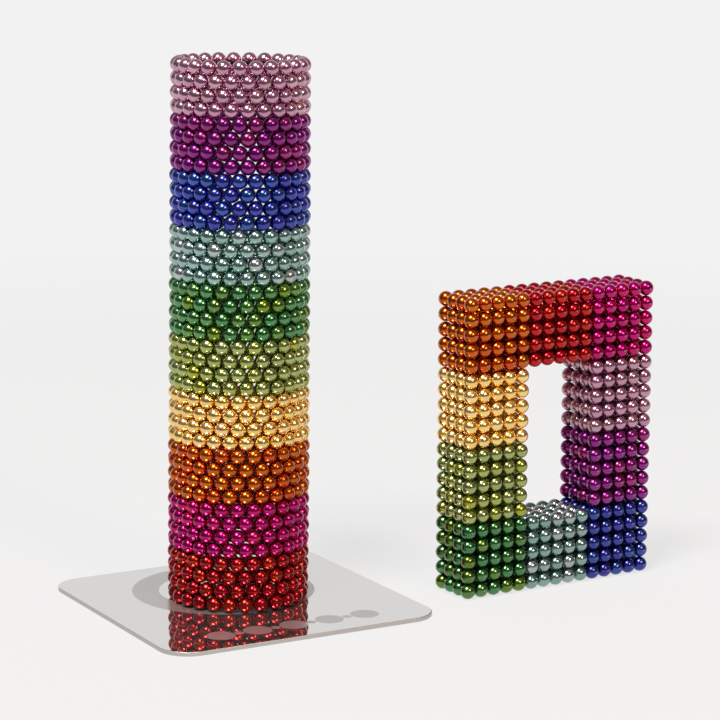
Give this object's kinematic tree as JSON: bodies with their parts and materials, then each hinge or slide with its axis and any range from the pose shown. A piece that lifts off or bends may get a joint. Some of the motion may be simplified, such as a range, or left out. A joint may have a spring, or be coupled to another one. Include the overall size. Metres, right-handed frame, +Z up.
{
  "type": "magnetic desk sculpture",
  "caption": "Desk toy of coloured magnet balls: a hollow tower of stacked ball rings on a thin mirror steel plate, beside a free-standing rectangular ball frame with a window.",
  "frame": {"origin": "centre of the base plate's underside", "axes": "+Z up, parallel to the tower's axis; +X from the tower towards the ball frame, along a plate edge; -Y towards the viewer, along the other plate edge"},
  "size_m": [0.0932, 0.0476, 0.0884],
  "materials": {
    "mirror_steel": "mirror-polished thin steel sheet with a faint etched ornament",
    "plated_lilac": "bright lilac metallic plating on small magnet balls, glossy",
    "plated_purple": "bright purple metallic plating on small magnet balls, glossy",
    "plated_blue": "bright blue metallic plating on small magnet balls, glossy",
    "plated_teal": "bright teal metallic plating on small magnet balls, glossy",
    "plated_dark_green": "bright dark green metallic plating on small magnet balls, glossy",
    "plated_light_green": "bright light green metallic plating on small magnet balls, glossy",
    "plated_gold": "bright gold metallic plating on small magnet balls, glossy",
    "plated_orange": "bright orange metallic plating on small magnet balls, glossy",
    "plated_magenta": "bright magenta metallic plating on small magnet balls, glossy",
    "plated_red": "bright red metallic plating on small magnet balls, glossy"
  },
  "bodies": {
    "base": {"base_plate": "mirror_steel"},
    "band_01_lilac": {"tower_ring_01_lilac": "plated_lilac", "tower_ring_02_lilac": "plated_lilac", "tower_ring_03_lilac": "plated_lilac", "tower_ring_04_lilac": "plated_lilac"},
    "band_02_purple": {"tower_ring_05_purple": "plated_purple", "tower_ring_06_purple": "plated_purple", "tower_ring_07_purple": "plated_purple", "tower_ring_08_purple": "plated_purple"},
    "band_03_blue": {"tower_ring_09_blue": "plated_blue", "tower_ring_10_blue": "plated_blue", "tower_ring_11_blue": "plated_blue", "tower_ring_12_blue": "plated_blue"},
    "band_04_teal": {"tower_ring_13_teal": "plated_teal", "tower_ring_14_teal": "plated_teal", "tower_ring_15_teal": "plated_teal", "tower_ring_16_teal": "plated_teal"},
    "band_05_dark_green": {"tower_ring_17_dark_green": "plated_dark_green", "tower_ring_18_dark_green": "plated_dark_green", "tower_ring_19_dark_green": "plated_dark_green", "tower_ring_20_dark_green": "plated_dark_green"},
    "band_06_light_green": {"tower_ring_21_light_green": "plated_light_green", "tower_ring_22_light_green": "plated_light_green", "tower_ring_23_light_green": "plated_light_green", "tower_ring_24_light_green": "plated_light_green"},
    "band_07_gold": {"tower_ring_25_gold": "plated_gold", "tower_ring_26_gold": "plated_gold", "tower_ring_27_gold": "plated_gold", "tower_ring_28_gold": "plated_gold"},
    "band_08_orange": {"tower_ring_29_orange": "plated_orange", "tower_ring_30_orange": "plated_orange", "tower_ring_31_orange": "plated_orange", "tower_ring_32_orange": "plated_orange"},
    "band_09_magenta": {"tower_ring_33_magenta": "plated_magenta", "tower_ring_34_magenta": "plated_magenta", "tower_ring_35_magenta": "plated_magenta", "tower_ring_36_magenta": "plated_magenta"},
    "band_10_red": {"tower_ring_37_red": "plated_red", "tower_ring_38_red": "plated_red", "tower_ring_39_red": "plated_red", "tower_ring_40_red": "plated_red"},
    "block_top_left": {"frame_block_01_top_left_orange": "plated_orange"},
    "block_top_middle": {"frame_block_02_top_middle_red": "plated_red"},
    "block_top_right": {"frame_block_03_top_right_magenta": "plated_magenta"},
    "block_left_upper": {"frame_block_04_left_upper_gold": "plated_gold"},
    "block_left_lower": {"frame_block_05_left_lower_light_green": "plated_light_green"},
    "block_right_upper": {"frame_block_06_right_upper_lilac": "plated_lilac"},
    "block_right_lower": {"frame_block_07_right_lower_purple": "plated_purple"},
    "block_bottom_left": {"frame_block_08_bottom_left_dark_green": "plated_dark_green"},
    "block_bottom_middle": {"frame_block_09_bottom_middle_teal": "plated_teal"},
    "block_bottom_right": {"frame_block_10_bottom_right_blue": "plated_blue"}
  },
  "joints": [
    {"name": "tower_swivel", "type": "hinge", "parent": "base", "child": "band_10_red", "pos_m": [-0.0001, 0.0012, 0.0007], "axis": [0, 0, 1], "continuous": true},
    {"name": "lift_band_09_magenta", "type": "slide", "parent": "band_10_red", "child": "band_09_magenta", "axis": [0, 0, 1], "range_m": [0, 0.012]},
    {"name": "lift_band_08_orange", "type": "slide", "parent": "band_09_magenta", "child": "band_08_orange", "axis": [0, 0, 1], "range_m": [0, 0.012]},
    {"name": "lift_band_07_gold", "type": "slide", "parent": "band_08_orange", "child": "band_07_gold", "axis": [0, 0, 1], "range_m": [0, 0.012]},
    {"name": "lift_band_06_light_green", "type": "slide", "parent": "band_07_gold", "child": "band_06_light_green", "axis": [0, 0, 1], "range_m": [0, 0.012]},
    {"name": "lift_band_05_dark_green", "type": "slide", "parent": "band_06_light_green", "child": "band_05_dark_green", "axis": [0, 0, 1], "range_m": [0, 0.012]},
    {"name": "lift_band_04_teal", "type": "slide", "parent": "band_05_dark_green", "child": "band_04_teal", "axis": [0, 0, 1], "range_m": [0, 0.012]},
    {"name": "lift_band_03_blue", "type": "slide", "parent": "band_04_teal", "child": "band_03_blue", "axis": [0, 0, 1], "range_m": [0, 0.012]},
    {"name": "lift_band_02_purple", "type": "slide", "parent": "band_03_blue", "child": "band_02_purple", "axis": [0, 0, 1], "range_m": [0, 0.012]},
    {"name": "lift_band_01_lilac", "type": "slide", "parent": "band_02_purple", "child": "band_01_lilac", "axis": [0, 0, 1], "range_m": [0, 0.012]},
    {"name": "frame_slides_on_desk", "type": "slide", "parent": "base", "child": "block_bottom_left", "axis": [1, 0, 0], "range_m": [0, 0.03]},
    {"name": "lift_left_lower", "type": "slide", "parent": "block_bottom_left", "child": "block_left_lower", "axis": [0, 0, 1], "range_m": [0, 0.012]},
    {"name": "lift_left_upper", "type": "slide", "parent": "block_left_lower", "child": "block_left_upper", "axis": [0, 0, 1], "range_m": [0, 0.012]},
    {"name": "lift_top_left", "type": "slide", "parent": "block_left_upper", "child": "block_top_left", "axis": [0, 0, 1], "range_m": [0, 0.012]},
    {"name": "pull_top_middle_forward", "type": "slide", "parent": "block_top_left", "child": "block_top_middle", "axis": [0.0332, -0.9995, 0], "range_m": [0, 0.012]},
    {"name": "part_bottom_middle", "type": "slide", "parent": "block_bottom_left", "child": "block_bottom_middle", "axis": [0.9995, 0.0332, 0], "range_m": [0, 0.012]},
    {"name": "part_bottom_right", "type": "slide", "parent": "block_bottom_middle", "child": "block_bottom_right", "axis": [0.9995, 0.0332, 0], "range_m": [0, 0.012]},
    {"name": "lift_right_lower", "type": "slide", "parent": "block_bottom_right", "child": "block_right_lower", "axis": [0, 0, 1], "range_m": [0, 0.012]},
    {"name": "lift_right_upper", "type": "slide", "parent": "block_right_lower", "child": "block_right_upper", "axis": [0, 0, 1], "range_m": [0, 0.012]},
    {"name": "lift_top_right", "type": "slide", "parent": "block_right_upper", "child": "block_top_right", "axis": [0, 0, 1], "range_m": [0, 0.012]}
  ]
}
